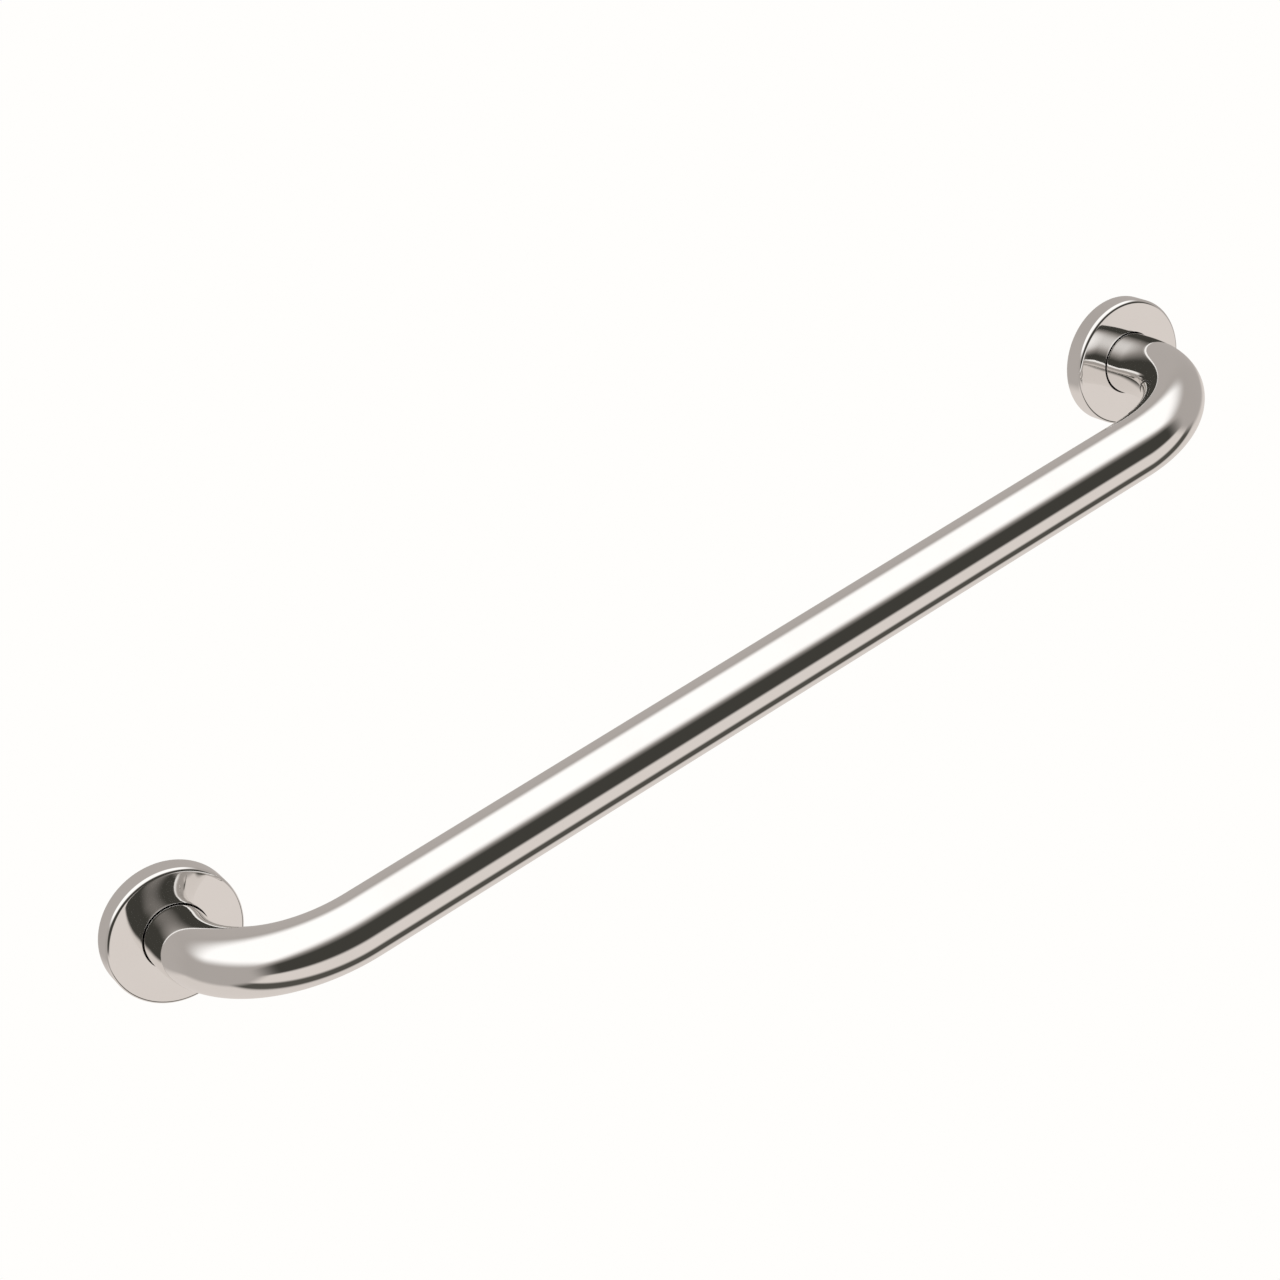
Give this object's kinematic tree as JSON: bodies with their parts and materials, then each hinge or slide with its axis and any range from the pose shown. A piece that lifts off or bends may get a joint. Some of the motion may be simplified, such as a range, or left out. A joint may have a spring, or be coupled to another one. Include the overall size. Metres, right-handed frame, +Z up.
{
  "type": "grab rail",
  "caption": "Polished steel grab rail: a round tube bent into a straight hand bar with a short leg at each end, welded to base plates under round slide-back flange covers.",
  "frame": {"origin": "on the wall plane, midway between the middles of the two bases", "axes": "+X along the hand bar from the left base to the right base, +Y into the wall, +Z up; the rail stands off towards -Y"},
  "size_m": [0.5096, 0.0872, 0.0526],
  "materials": {
    "polished_steel": "mirror polished",
    "plate_steel": "milled, left as rolled",
    "weld_steel": "rippled weld bead with a faint heat tint",
    "screw_steel": "plain stainless, slightly dull",
    "gasket_rubber": "matt black moulded rubber"
  },
  "bodies": {
    "rail": {"rail_tube": "polished_steel", "base_gasket_left": "gasket_rubber", "base_plate_left": "plate_steel", "weld_bead_left": "weld_steel", "fixing_screw_left_1": "screw_steel", "fixing_screw_left_2": "screw_steel", "fixing_screw_left_3": "screw_steel", "base_gasket_right": "gasket_rubber", "base_plate_right": "plate_steel", "weld_bead_right": "weld_steel", "fixing_screw_right_1": "screw_steel", "fixing_screw_right_2": "screw_steel", "fixing_screw_right_3": "screw_steel"},
    "cover_left": {"flange_cover_left": "polished_steel"},
    "cover_right": {"flange_cover_right": "polished_steel"}
  },
  "joints": [
    {"name": "cover_left_slide", "type": "slide", "parent": "rail", "child": "cover_left", "axis": [0, -1, 0], "range_m": [0, 0.011]},
    {"name": "cover_right_slide", "type": "slide", "parent": "rail", "child": "cover_right", "axis": [0, -1, 0], "range_m": [0, 0.011]}
  ]
}
